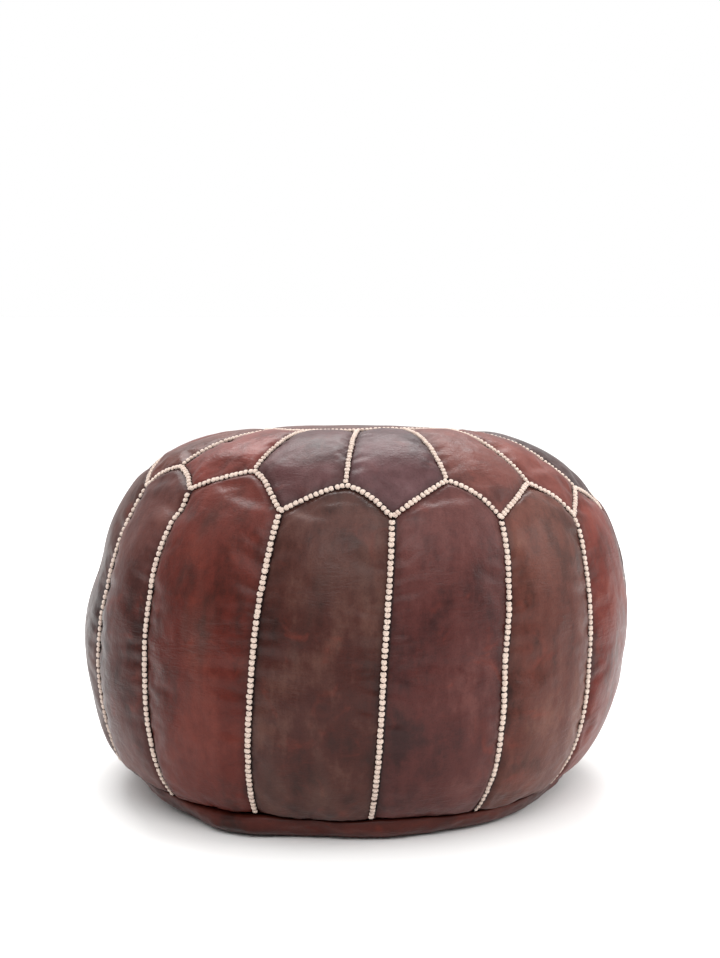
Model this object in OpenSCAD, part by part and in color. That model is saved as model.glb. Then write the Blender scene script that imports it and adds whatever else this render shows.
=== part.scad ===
// Round stuffed floor pouf. Wedge-shaped leather side panels rise from a two-piece base to a
// zigzag seam, pointed petals close the top around a small round medallion, and every seam of
// the upper cover is worked over with a plump braid of thread. A zip runs across the underside
// in a shallow valley, so that its slider and pull tab stay clear of the floor.
// Units are millimetres, +Z is up, and the origin is the middle of the underside.

/* [Body] */
// Radius at the widest girth
body_r = 265; // [200:5:340]
// Height of the crown above the floor
body_h = 350; // [280:5:440]
// Height of the widest girth above the floor
girth_z = 151; // [110:1:180]
// Roundness of the outline, from 2 (an ellipse) towards a box
roundness = 2.7; // [2:0.1:3.5]
// How far the base seam sits inside the widest girth
base_inset = 43; // [25:1:60]
// Height of the base seam, and radius of the base leather's rolled rim
base_seam_z = 17; // [10:1:25]

/* [Panels] */
// Number of side panels, and of petals
panel_count = 14; // [8:1:14]
// Angle from the front to the first side seam
first_seam_angle = 5.4; // [0:0.1:20]
// Thickness of the leather
leather_t = 1.6; // [1:0.1:2.5]
// Depth of the petal points below the crown
point_drop = 65; // [55:1:90]
// Depth of the notches between the petals below the crown
notch_drop = 40; // [30:1:50]
// Radius of the round medallion at the crown
medallion_r = 98; // [60:1:120]

/* [Embroidery] */
// Width of the braid along each seam
braid_w = 6.5; // [4:0.5:9]
// How far the braid stands proud of the leather
braid_h = 2.4; // [1:0.1:4]
// Space between the leather and the underside of the braid
braid_lift = 0.05; // [0.05:0.05:0.3]
// Thickness of plain sewing thread
thread_d = 1; // [0.6:0.1:1.5]

/* [Zip] */
// Half width of the valley that holds the zip
valley_half = 34; // [26:1:45]
// Half width of the level strip along the top of the valley
valley_level = 18; // [17:0.5:20]
// Height of the valley above the floor
valley_z = 9; // [9:0.5:14]
// Distance from each end of the valley to the rolled rim
valley_end_gap = 21; // [10:1:40]
// Half width of the slit between the two base leathers
slit_half = 7; // [6.8:0.1:9]
// Spacing of the teeth in one row
tooth_pitch = 4; // [3:0.5:6]
// Length of a tooth across the zip
tooth_w = 2.6; // [2:0.1:3.5]
// Thickness of a tooth
tooth_h = 2.8; // [2.2:0.1:3.5]
// Space between the two rows of teeth
row_gap = 1.5; // [1.3:0.1:2.5]
// Width of one tape
tape_w = 14; // [11:0.5:15]
// Thickness of the tape
tape_t = 0.6; // [0.4:0.1:0.9]
// Length of the slider
slider_l = 14; // [12:0.5:18]
// Thickness of each plate of the slider
plate_t = 1; // [0.8:0.1:1.5]
// Length of the pull tab beyond its pivot
pull_l = 27; // [18:1:32]
// Width of the pull tab
pull_w = 7; // [6:0.5:8.5]
// Diameter of the pull tab's cross bar
pull_bar_d = 1.2; // [1:0.1:1.6]

/* [Fits] */
// Space between the leather and the stuffing
stuffing_gap = 0.5; // [0.3:0.1:2]
// Space between sliding pieces of the zip
slide_gap = 0.3; // [0.25:0.05:0.5]
// Space between the tape and the pieces that grip it
grip_gap = 0.05; // [0.05:0.05:0.2]
// Space around the pull tab's cross bar inside the slider's loop
pull_gap = 0.25; // [0.2:0.05:0.4]

/* [Hidden] */
$fn = 96;
steps_up = 14;                                   // straight steps from girth to crown
steps_down = 8;                                  // straight steps from girth to base seam
rim_steps = 8;                                   // straight steps around the rolled rim
valley_steps = 8;                                // straight steps down a side of the valley
panel_step = 360 / panel_count;
seam_r = body_r - base_inset;                    // radius of the base seam
flat_r = seam_r - base_seam_z;                   // radius of the level underside
point_z = body_h - point_drop;
notch_z = body_h - notch_drop;
far = 2 * body_r;                                // safely outside the pouf

// The outline below the girth is a rounded quarter whose depth makes it meet the base seam.
lower_depth = (girth_z - base_seam_z) / pow(1 - pow(seam_r / body_r, roundness), 1 / roundness);

zip_l = 2 * (flat_r - valley_end_gap - valley_half);
slit_l = zip_l + 10;
tape_l = slit_l + 16;
tape_z = valley_z + leather_t + grip_gap;        // underside of the tape
chain_z = tape_z + tape_t / 2;                   // middle of the teeth
tooth_near = row_gap / 2;                        // nearest point of a tooth to the middle line
tooth_far = tooth_near + tooth_w;
tape_near = tooth_near + 0.45 * tooth_w;         // inner edge of a tape, gripped by the teeth
tooth_l = 0.55 * tooth_pitch;                    // length of a tooth along the zip
stop_l = 2.4;                                    // length of an end stop along the zip
row_end = zip_l / 2 - stop_l - tooth_pitch;      // where the rows of teeth end
plate_near = tooth_h / 2 + slide_gap;            // from chain middle to a plate's inner face
plate_far = plate_near + plate_t;
flange_near = tooth_far + slide_gap;             // inner side of the slider's folded edges
flange_far = flange_near + plate_t;
bridge_t = row_gap - 2 * slide_gap;              // web that joins the slider's plates
slider_x = row_end - slider_l / 2;               // middle of the closed slider
loop_w = 2.2;                                    // width of the slider's loop
loop_t = 1;                                      // thickness of the loop's bar
loop_opening = pull_bar_d + 2 * pull_gap;
loop_foot = 1.6;                                 // length of each foot of the loop
loop_l = 2 * loop_foot + loop_opening + 2.4;
pivot_z = chain_z - plate_far - loop_opening / 2;
arm_w = (pull_w - loop_w - 2 * pull_gap) / 2;
// The tab hangs from its pivot until its tip is this far above the floor.
tip_gap = 0.2;
pull_droop = asin((pivot_z - pull_bar_d / 2 - tip_gap) / pull_l);

// Names a family of nodes: base_1, base_2 and so on.
function family(base, count) = [for (k = [1:count]) str(base, "_", k)];

// ---- Outline of the stuffed body -------------------------------------------------------

// Radius of the outline at a height above the girth.
function radius_above(z) =
    body_r * pow(1 - pow((z - girth_z) / (body_h - girth_z), roundness), 1 / roundness);

function upper_point(t) = [
    body_r * pow(cos(t), 2 / roundness),
    girth_z + (body_h - girth_z) * pow(sin(t), 2 / roundness)];

function lower_point(t) = [
    body_r * pow(cos(t), 2 / roundness),
    girth_z - lower_depth * pow(sin(t), 2 / roundness)];

// Angle parameter of the lower outline at the base seam.
seam_t = acos(pow(seam_r / body_r, roundness / 2));

outline = concat(
    [for (k = [0:steps_down - 1]) lower_point(seam_t * (1 - k / steps_down))],
    [for (k = [0:steps_up - 1]) upper_point(90 * k / steps_up)],
    [[0, body_h]]);

function unit(v) = v / norm(v);

// Outward direction of a chain of points at one of them.
function outward(pts, k) =
    let (along = unit(pts[min(k + 1, len(pts) - 1)] - pts[max(k - 1, 0)]))
    [along[1], -along[0]];

// The chain moved outwards, with its last point kept on the axis.
function moved(pts, d) = [for (k = [0:len(pts) - 1])
    k == len(pts) - 1 ? pts[k] + [0, d] : pts[k] + d * outward(pts, k)];

function backwards(pts) = [for (k = [len(pts) - 1:-1:0]) pts[k]];

// A closed skin that follows the outline between two distances from it.
module skin(inner, outer) {
    rotate_extrude()
        polygon(concat(moved(outline, outer), backwards(moved(outline, inner))));
}

// ---- Layout of the seams seen from above -----------------------------------------------

function seam_angle(k) = first_seam_angle - 90 + k * panel_step;

function polar(r, a) = r * [cos(a), sin(a)];

// Corner of the zigzag, a petal point for a whole k and a notch for a half one, moved outwards.
function zigzag_corner(k, wider = 0) =
    polar((k == floor(k) ? radius_above(point_z) : radius_above(notch_z)) + wider, seam_angle(k));

// Radial growth that moves both sides of a corner out by half the braid.
point_edge = unit(zigzag_corner(0) - zigzag_corner(0.5));
point_growth = braid_w / 2 / abs(cross(point_edge, polar(1, seam_angle(0))));
notch_growth = braid_w / 2 / abs(cross(point_edge, polar(1, seam_angle(0.5))));

function star(side) = [for (k = [0:0.5:panel_count - 0.5])
    zigzag_corner(k, side * (k == floor(k) ? point_growth : notch_growth))];

module star_prism(side) {
    translate([0, 0, girth_z])
        linear_extrude(body_h)
            polygon(star(side));
}

// ---- Leather ---------------------------------------------------------------------------

tones = ["#5a3331", "#6e3a2c", "#4f3a33", "#6b4038", "#523030", "#75402f", "#5b4a3f"];

function tone(k) = tones[k % len(tones)];

// The two edges of the zigzag above a side panel, carried on past the panel's seams.
module panel_top(k) {
    notch = zigzag_corner(k + 0.5);
    reach = 3;
    polygon([notch + reach * (zigzag_corner(k) - notch), notch,
             notch + reach * (zigzag_corner(k + 1) - notch), -medallion_r * unit(notch)]);
}

module side_panel(k) {
    color(tone(3 * k))
        difference() {
            intersection() {
                skin(-leather_t, 0);
                linear_extrude(body_h)
                    polygon([[0, 0], polar(far, seam_angle(k)), polar(far, seam_angle(k + 1))]);
            }
            translate([0, 0, girth_z])
                linear_extrude(body_h)
                    panel_top(k);
        }
}

module top_petal(k) {
    color(tone(5 * k + 1))
        difference() {
            intersection() {
                skin(-leather_t, 0);
                translate([0, 0, girth_z])
                    linear_extrude(body_h)
                        polygon([[0, 0], zigzag_corner(k - 0.5), zigzag_corner(k),
                                 zigzag_corner(k + 0.5)]);
            }
            cylinder(r = medallion_r, h = 2 * body_h);
        }
}

module top_medallion() {
    color("#5e4038")
        intersection() {
            skin(-leather_t, 0);
            translate([0, 0, girth_z])
                cylinder(r = medallion_r, h = body_h);
        }
}

// ---- Base ------------------------------------------------------------------------------

// Height of the base leather's underside at a distance from the middle line of the valley.
function valley_height(d) = d <= valley_level
    ? valley_z
    : valley_z * (1 + cos(180 * (d - valley_level) / (valley_half - valley_level))) / 2;

valley_line = concat([[0, valley_z]],
    [for (k = [0:valley_steps])
        let (d = valley_level + (valley_half - valley_level) * k / valley_steps)
        [d, valley_height(d)]]);

module valley_section() {
    polygon(concat(valley_line, backwards([for (p = valley_line) p + [0, leather_t]])));
}

// The stadium shape of the valley seen from above.
module stadium(half_width) {
    square([zip_l, 2 * half_width], center = true);
    for (side = [-1, 1])
        translate([side * zip_l / 2, 0])
            circle(r = half_width);
}

// Section of the rolled rim, or of a surface inside it, from the underside up to the seam.
function rim_arc(r) = [for (k = [0:rim_steps])
    [flat_r, base_seam_z] + r * [sin(90 * k / rim_steps), -cos(90 * k / rim_steps)]];

module rolled_rim() {
    rotate_extrude()
        polygon(concat(rim_arc(base_seam_z), backwards(rim_arc(base_seam_z - leather_t))));
}

module base_leather() {
    difference() {
        union() {
            linear_extrude(leather_t)
                difference() {
                    circle(r = flat_r);
                    stadium(valley_half);
                }
            rolled_rim();
            for (side = [0, 1])
                mirror([0, side, 0])
                    rotate([90, 0, 90])
                        translate([0, 0, -zip_l / 2])
                            linear_extrude(zip_l)
                                valley_section();
            for (side = [0, 1])
                mirror([side, 0, 0])
                    translate([zip_l / 2, 0, 0])
                        rotate([0, 0, -90])
                            rotate_extrude(angle = 180)
                                valley_section();
        }
        cube([slit_l, 2 * slit_half, 4 * valley_z], center = true);
    }
}

// One half of the base leather, in front of the zip (side -1) or behind it (side 1).
module base_half(side) {
    color("#6a3f35")
        intersection() {
            base_leather();
            translate([-far, side < 0 ? -far : 0, -1])
                cube([2 * far, far, 2 * base_seam_z]);
        }
}

// ---- Stuffing --------------------------------------------------------------------------

// Shredded cloth packed tightly into the cover, hollowed over the zip.
module stuffing() {
    gap = leather_t + stuffing_gap;
    color("#b9ac98")
        difference() {
            rotate_extrude()
                polygon(concat([[0, gap]], rim_arc(base_seam_z - gap), moved(outline, -gap)));
            linear_extrude(2 * (chain_z + plate_far + slide_gap), center = true)
                stadium(valley_half + gap);
        }
}

// ---- Braids and threads ----------------------------------------------------------------

// A band of braid over the line from the middle outwards at an angle.
module radial_band(angle, from_r, to_r) {
    rotate([0, 0, angle])
        translate([from_r, -braid_w / 2])
            square([to_r - from_r, braid_w]);
}

module braid_skin() {
    skin(braid_lift, braid_h);
}

module side_seam_braids() {
    color("#e2d6c2")
        difference() {
            intersection() {
                braid_skin();
                for (k = [0:panel_count - 1])
                    translate([0, 0, base_seam_z])
                        linear_extrude(body_h)
                            radial_band(seam_angle(k), seam_r / 2, far);
            }
            star_prism(1);
        }
}

module top_seam_braids() {
    color("#e2d6c2")
        intersection() {
            braid_skin();
            star_prism(-1);
            for (k = [0:panel_count - 1])
                translate([0, 0, girth_z])
                    linear_extrude(body_h)
                        radial_band(seam_angle(k + 0.5), medallion_r + braid_w / 2 + braid_lift, body_r);
        }
}

module zigzag_seam_braid() {
    color("#e2d6c2")
        difference() {
            intersection() {
                braid_skin();
                star_prism(1);
            }
            star_prism(-1);
        }
}

module medallion_braid() {
    color("#e2d6c2")
        intersection() {
            braid_skin();
            translate([0, 0, girth_z])
                difference() {
                    cylinder(r = medallion_r + braid_w / 2, h = body_h);
                    cylinder(r = medallion_r - braid_w / 2, h = body_h);
                }
        }
}

// Sewing thread that lies in the crease of the base seam.
module base_seam_thread() {
    color("#2b1d1a")
        rotate_extrude()
            translate([seam_r + 0.7 * thread_d, base_seam_z - 0.6 * thread_d])
                circle(d = thread_d, $fn = 24);
}

// Rows of stitches that hold the tapes to the base leathers, and close the leathers past the zip.
module zip_seam_thread() {
    row_y = slit_half + 3.5;
    row_x = slit_l / 2 + 5;
    stitch_l = 4;
    stitch_pitch = 6;
    across = floor(row_y / stitch_pitch);
    along = floor(row_x / stitch_pitch);
    color("#2b1d1a")
        for (side = [-1, 1]) {
            for (k = [-along:along])
                translate([k * stitch_pitch - stitch_l / 2, side * row_y - thread_d / 2,
                           valley_z - braid_lift - thread_d / 2])
                    cube([stitch_l, thread_d, thread_d / 2]);
            for (k = [-across:across])
                translate([side * row_x - thread_d / 2, k * stitch_pitch - stitch_l / 2,
                           valley_z - braid_lift - thread_d / 2])
                    cube([thread_d, stitch_l, thread_d / 2]);
        }
}

// ---- Zip -------------------------------------------------------------------------------

module zip_tape(side) {
    color("#3a2c28")
        translate([-tape_l / 2, side < 0 ? -tape_near - tape_w : tape_near, tape_z])
            cube([tape_l, tape_w, tape_t]);
}

// The slot by which a tooth or stop grips the edge of a tape.
module tape_slot(length) {
    translate([-length, tape_near - grip_gap, tape_z - chain_z - grip_gap])
        cube([2 * length, tape_w, tape_t + 2 * grip_gap]);
}

module tooth() {
    difference() {
        translate([-tooth_l / 2, tooth_near, -tooth_h / 2])
            cube([tooth_l, tooth_w, tooth_h]);
        tape_slot(tooth_l);
    }
}

// One row of teeth, set half a pitch along from the other row.
module zip_teeth(side) {
    teeth = floor((2 * row_end - tooth_pitch) / tooth_pitch);
    color("#b08a4a")
        for (k = [0:teeth - 1])
            translate([(k - (teeth - 1) / 2 + side / 4) * tooth_pitch, 0, chain_z])
                mirror([0, side < 0 ? 1 : 0, 0])
                    tooth();
}

// Two separate stops at the closed end, and one that joins both tapes at the open end.
module zip_end_stops() {
    color("#b08a4a")
        for (side = [0, 1])
            mirror([0, side, 0])
                translate([0, 0, chain_z]) {
                    difference() {
                        translate([zip_l / 2 - stop_l, tooth_near, -tooth_h / 2])
                            cube([stop_l, tooth_w, tooth_h]);
                        translate([zip_l / 2, 0, 0])
                            tape_slot(2 * stop_l);
                    }
                    difference() {
                        translate([-zip_l / 2, 0, -tooth_h / 2])
                            cube([stop_l, tooth_far, tooth_h]);
                        translate([-zip_l / 2, 0, 0])
                            tape_slot(2 * stop_l);
                    }
                }
}

// One plate of the slider: wide at the mouth, narrower at the tail, with a folded edge each side.
module slider_plate() {
    tail_half = flange_far - 0.2;
    mouth_half = flange_far + 0.3;
    translate([0, 0, -plate_far])
        linear_extrude(plate_t)
            polygon([[-slider_l / 2, -tail_half], [slider_l / 2 - 2, -mouth_half],
                     [slider_l / 2, -mouth_half + 2], [slider_l / 2, mouth_half - 2],
                     [slider_l / 2 - 2, mouth_half], [-slider_l / 2, tail_half]]);
    for (side = [0, 1])
        mirror([0, side, 0])
            translate([-slider_l / 2, flange_near, -plate_far])
                cube([slider_l - 3, flange_far - 0.2 - flange_near,
                      plate_far - tape_t / 2 - slide_gap]);
}

module zip_slider() {
    color("#b5924f")
        translate([slider_x, 0, chain_z]) {
            slider_plate();
            mirror([0, 0, 1])
                slider_plate();
            translate([slider_l / 2 - 4, -bridge_t / 2, -plate_far])
                cube([3, bridge_t, 2 * plate_far]);
            translate([-loop_l / 2, -loop_w / 2, -plate_far - loop_opening - loop_t])
                difference() {
                    cube([loop_l, loop_w, loop_opening + loop_t + plate_t / 2]);
                    translate([loop_foot, -loop_w, loop_t])
                        cube([loop_l - 2 * loop_foot, 3 * loop_w, loop_opening]);
                }
        }
}

// Flat tab on a round cross bar inside the slider's loop. It lies back along the zip, and
// droops until its tip is just above the floor.
module zip_pull_tab() {
    thick = pull_bar_d;
    eye_l = loop_l / 2 + 1.5;
    color("#b5924f")
        translate([slider_x, 0, pivot_z])
        rotate([0, -pull_droop, 0]) {
            rotate([90, 0, 0])
                cylinder(d = pull_bar_d, h = pull_w, center = true, $fn = 32);
            for (side = [-1, 1])
                translate([-eye_l, side * (pull_w - arm_w) / 2 - arm_w / 2, -thick / 2])
                    cube([eye_l, arm_w, thick]);
            translate([0, 0, -thick / 2])
                linear_extrude(thick)
                    difference() {
                        union() {
                            translate([-pull_l + pull_w / 2, -pull_w / 2])
                                square([pull_l - pull_w / 2 - eye_l, pull_w]);
                            translate([-pull_l + pull_w / 2, 0])
                                circle(d = pull_w);
                        }
                        translate([-pull_l + pull_w / 2, 0])
                            circle(d = pull_w / 2.5);
                    }
        }
}

// ---- Drawing ---------------------------------------------------------------------------

stuffing();
top_medallion();
for (k = [1:panel_count]) {
    top_petal(k - 1);
    side_panel(k - 1);
}
base_half(-1);  // base_half_front
base_half(1);  // base_half_back
side_seam_braids();
top_seam_braids();
zigzag_seam_braid();
medallion_braid();
base_seam_thread();
zip_seam_thread();
zip_tape(-1);  // zip_tape_front
zip_tape(1);  // zip_tape_back
zip_teeth(-1);  // zip_teeth_front
zip_teeth(1);  // zip_teeth_back
zip_end_stops();
zip_slider();
zip_pull_tab();
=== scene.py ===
"""Round stuffed leather pouf: panels, petals, medallion and base of dyed leather, braided seams, zip below.

Lengths are metres in the frame of the CAD model: +Z up, the front towards -Y, the origin under the middle.
A place on the cover is given by q, which is 0 at the first side seam and grows by 1 from each side seam
to the next, counter-clockwise from above, and by s, the length along the outline up from the base seam.
"""

import math

import bmesh
import bpy
import numpy as np
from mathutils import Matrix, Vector, noise


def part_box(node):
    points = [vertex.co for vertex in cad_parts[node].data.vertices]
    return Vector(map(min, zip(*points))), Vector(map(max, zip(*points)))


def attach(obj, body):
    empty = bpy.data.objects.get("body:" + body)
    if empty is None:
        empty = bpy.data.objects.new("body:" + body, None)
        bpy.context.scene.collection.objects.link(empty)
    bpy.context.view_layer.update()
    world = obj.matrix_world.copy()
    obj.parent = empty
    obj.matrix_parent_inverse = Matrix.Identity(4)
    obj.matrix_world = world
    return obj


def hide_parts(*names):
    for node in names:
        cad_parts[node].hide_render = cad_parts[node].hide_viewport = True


bl_info = {
    "name": "Leather pouf",
    "version": (1, 0, 0),
    "blender": (4, 5, 0),
    "location": "3D View > Sidebar > Pouf",
    "description": "Builds a stuffed leather pouf with braided seams around its CAD frame",
    "category": "Add Mesh",
}

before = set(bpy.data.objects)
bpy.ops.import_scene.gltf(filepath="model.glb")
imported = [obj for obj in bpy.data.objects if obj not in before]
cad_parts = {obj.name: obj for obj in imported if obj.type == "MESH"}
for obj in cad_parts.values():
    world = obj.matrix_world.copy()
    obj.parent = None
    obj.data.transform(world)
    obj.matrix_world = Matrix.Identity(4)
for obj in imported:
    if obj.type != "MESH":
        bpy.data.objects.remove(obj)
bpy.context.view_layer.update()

MM = 0.001
PANELS = 14
STEP = 2 * math.pi / PANELS
RIM_INSET = 0.020            # how far inside the base seam the leather meets the floor
SLIT = (0.155, 0.007)        # half length and half width of the slit over the zip
VALLEY = (0.018, 0.034)      # half widths of the valley over the zip, at its roof and at the floor
VALLEY_RISE = 0.009          # height of its roof
VALLEY_END = 0.150           # how far out it keeps its full width


# ---- Sizes and colours -----------------------------------------------------------------


def to_linear(hex_colour):
    """The linear red, green and blue of an sRGB hex colour."""
    parts = [int(hex_colour[k:k + 2], 16) / 255 for k in (1, 3, 5)]
    return tuple(p / 12.92 if p <= 0.04045 else ((p + 0.055) / 1.055) ** 2.4 for p in parts)


def length(name, description, default):
    """A length that a user may change."""
    return bpy.props.FloatProperty(name=name, description=description, default=default,
                                   min=0, unit="LENGTH", subtype="DISTANCE", precision=4)


def colour(name, description, default):
    """A colour that a user may change, from its sRGB hex value."""
    return bpy.props.FloatVectorProperty(name=name, description=description, size=3, min=0, max=1,
                                         subtype="COLOR", default=to_linear(default))


class PoufSizes(bpy.types.PropertyGroup):
    """Sizes of the stuffed cover and of its seams."""

    body_radius: length("Body radius", "Radius at the widest girth", 0.265)
    body_height: length("Body height", "Height of the crown above the floor",
                        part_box("top_medallion")[1].z + 0.0015)
    girth_height: length("Girth height", "Height of the widest girth", 0.151)
    roundness: bpy.props.FloatProperty(
        name="Roundness", description="Outline below the girth, from 2, an ellipse, towards a box",
        default=2.7, min=2, max=4)
    shoulder: bpy.props.FloatProperty(
        name="Shoulder", description="How full the outline stays above the girth", default=2.97, min=2, max=4)
    crown: bpy.props.FloatProperty(
        name="Crown", description="How flat the crown is", default=2.5, min=2, max=4)
    seam_radius: length("Base seam radius", "Radius of the seam between panels and base", 0.222)
    seam_height: length("Base seam height", "Height of that seam above the floor", 0.017)
    first_seam: bpy.props.FloatProperty(
        name="First seam", description="Angle from the front to the first side seam",
        default=math.radians(5.4), subtype="ANGLE", unit="ROTATION")
    point_height: length("Point height", "Height of the petal points", 0.285)
    notch_height: length("Notch height", "Height of the notches between petals", 0.310)
    medallion_radius: length("Medallion radius", "Radius of the round piece at the crown",
                             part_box("top_medallion")[1].x)
    leather: length("Leather", "Thickness of the leather", 0.0016)
    groove: length("Groove", "How deep each seam is pulled in", 0.0026)
    side_puff: length("Side puff", "How far a side panel swells between its seams", 0.0012)
    petal_puff: length("Petal puff", "How far a petal swells between its seams", 0.0010)
    lumps: length("Lumps", "Unevenness from the shredded stuffing", 0.0022)
    stitch_pitch: length("Stitch pitch", "Spacing of the knots of a braid", 0.00505)
    stitch_width: length("Stitch width", "Width of a knot across the seam", 0.0060)
    stitch_rise: length("Stitch rise", "Half height of a knot", 0.0020)


class PoufColours(bpy.types.PropertyGroup):
    """Colours of the threads, zip and floor. The leathers have a dye lot each."""

    braid: colour("Braid", "Cotton braid", "#DAC7B9")
    # Painted shade between the braid's strands, which is also the colour of its soiled places.
    braid_shade_and_soil: colour("Braid shade", "Cotton braid between its strands", "#A08176")
    dark_thread: colour("Dark thread", "Waxed sewing thread", "#2A1A18")
    tape: colour("Tape", "Woven zip tape", "#3B2A26")
    brass: colour("Brass", "Zip metal where it is rubbed bright", "#C9A25E")
    tarnish: colour("Tarnish", "Zip metal where it is dull", "#6B4E2A")
    floor: colour("Floor", "Painted studio floor", "#FAFAF9")


# ---- Leather dye lots ------------------------------------------------------------------

# Dark, middle and light tone of each side panel, from the one right of the first side seam
# round by the right, the back and the left.
SIDE_DYES = [
    ("#2A100F", "#431D1A", "#57302C"), ("#2F150F", "#4E261E", "#623C31"),
    ("#3A140D", "#591D14", "#6C3126"), ("#32130E", "#4A1D16", "#5F2D24"),
    ("#28120F", "#40201A", "#523128"), ("#36130E", "#521F17", "#663125"),
    ("#28120F", "#3C1F1B", "#4E312C"), ("#32120D", "#4C1D16", "#602E23"),
    ("#29120F", "#412119", "#543328"), ("#34130E", "#501F17", "#633025"),
    ("#28120F", "#3C201B", "#4F322C"), ("#29110E", "#421F1B", "#56312B"),
    ("#300F09", "#49160E", "#5A241B"), ("#220D09", "#37150F", "#4D2F27"),
]
# The same for the petals, from the one over the first side seam.
PETAL_DYES = [
    ("#220E0F", "#391B1C", "#4F3234"), ("#361713", "#53261F", "#663A33"),
    ("#37140F", "#54221A", "#68352D"), ("#231312", "#362221", "#483433"),
    ("#35130E", "#501E17", "#633028"), ("#28110E", "#401F1A", "#54322B"),
    ("#37130E", "#531F18", "#663128"), ("#271110", "#3B1F1D", "#4F332F"),
    ("#35130E", "#501E17", "#633027"), ("#29120F", "#42201A", "#56332B"),
    ("#37140F", "#532018", "#663329"), ("#2D1410", "#4A231C", "#5E362D"),
    ("#3C140F", "#5C221A", "#703730"), ("#230F0E", "#391B1A", "#4E2F30"),
]
MEDALLION_DYE = ("#2A110F", "#42201B", "#57322B")
BASE_DYE = ("#2C110C", "#461B14", "#602E24")

# How far each side seam strays from its meridian, in millimetres towards the next seam:
# near the base, at the girth and at the petal point. Hand cutting and stuffing leave this.
SEAM_STRAY = [
    (1, 0, 5), (-3, -5, 4), (0, -12, 0), (2, -8, -2), (-3, 2, 3), (2, 4, -2), (-2, -3, 2),
    (3, 1, -3), (-2, 3, 2), (2, -3, -2), (6, 8, 4), (24, 26, 12), (10, 2, -8), (-1, 3, 7),
]
STRAY_HEIGHTS = (0.045, 0.155, 0.285)
# How much slimmer the knots get at the foot of each side seam.
SLIM_FEET = [0.10, 0.55, 0.60, 0.30, 0.10, 0.45, 0.20, 0.50, 0.15, 0.40, 0.10, 0.35, 0.45, 0.10]
# How far each seam between petals strays, in degrees, and how much higher than the others its
# notch and the petal point before it lie, in millimetres.
PETAL_STRAY = [3.1, 3.0, -0.5, 1.0, -1.2, 0.8, -0.6, 1.4, -1.0, 0.5, 1.2, 0.0, 2.5, 3.0]
NOTCH_RISE = [4, 5, -1, 1, 2, -2, 1, 3, -1, 2, 0, -3, 2, -3]
POINT_RISE = [0, 1, 0, -2, 2, 1, -2, 0, 2, -1, 1, 2, 8, 0]
RING_TILT = -0.0095          # how the ring of petals tips to the right

LEAN = 0.0359                # lean of the stuffed body to the right, per metre of height
LEAN_GROWTH = 0.186          # how the lean grows away from its pivot
LEAN_PIVOT = 0.150           # height at which it is nought
CROWN_TIP = 0.143            # how much higher the crown stands in front, per metre from the middle
TIP_EVEN, TIP_UNEVEN = 0.725, 0.275     # shares of the tip that go on behind the middle, and that don't
CROWN_SLIDE = (-0.004, -0.022)          # how far the crown has slid to the right and to the back
CROWN_START = 3.4            # how late up the body the tip and slide set in
# Hollows in the stuffing, and swellings where the depth is below nought: angle from the front in
# degrees, height, depth, half width and half height.
HOLLOWS = [
    (-82, 0.220, 0.0100, 0.080, 0.042), (-78, 0.316, -0.0090, 0.100, 0.024),
    (-86, 0.075, 0.0085, 0.110, 0.052), (78, 0.322, 0.0025, 0.100, 0.025),
    (80, 0.060, 0.0040, 0.110, 0.050), (-47, 0.288, 0.0045, 0.030, 0.009),
    (112, 0.230, 0.0060, 0.080, 0.050), (168, 0.120, 0.0055, 0.090, 0.050),
    (-140, 0.250, 0.0050, 0.080, 0.040), (150, 0.320, 0.0050, 0.070, 0.030),
]


# ---- The cover's surface ---------------------------------------------------------------


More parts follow.
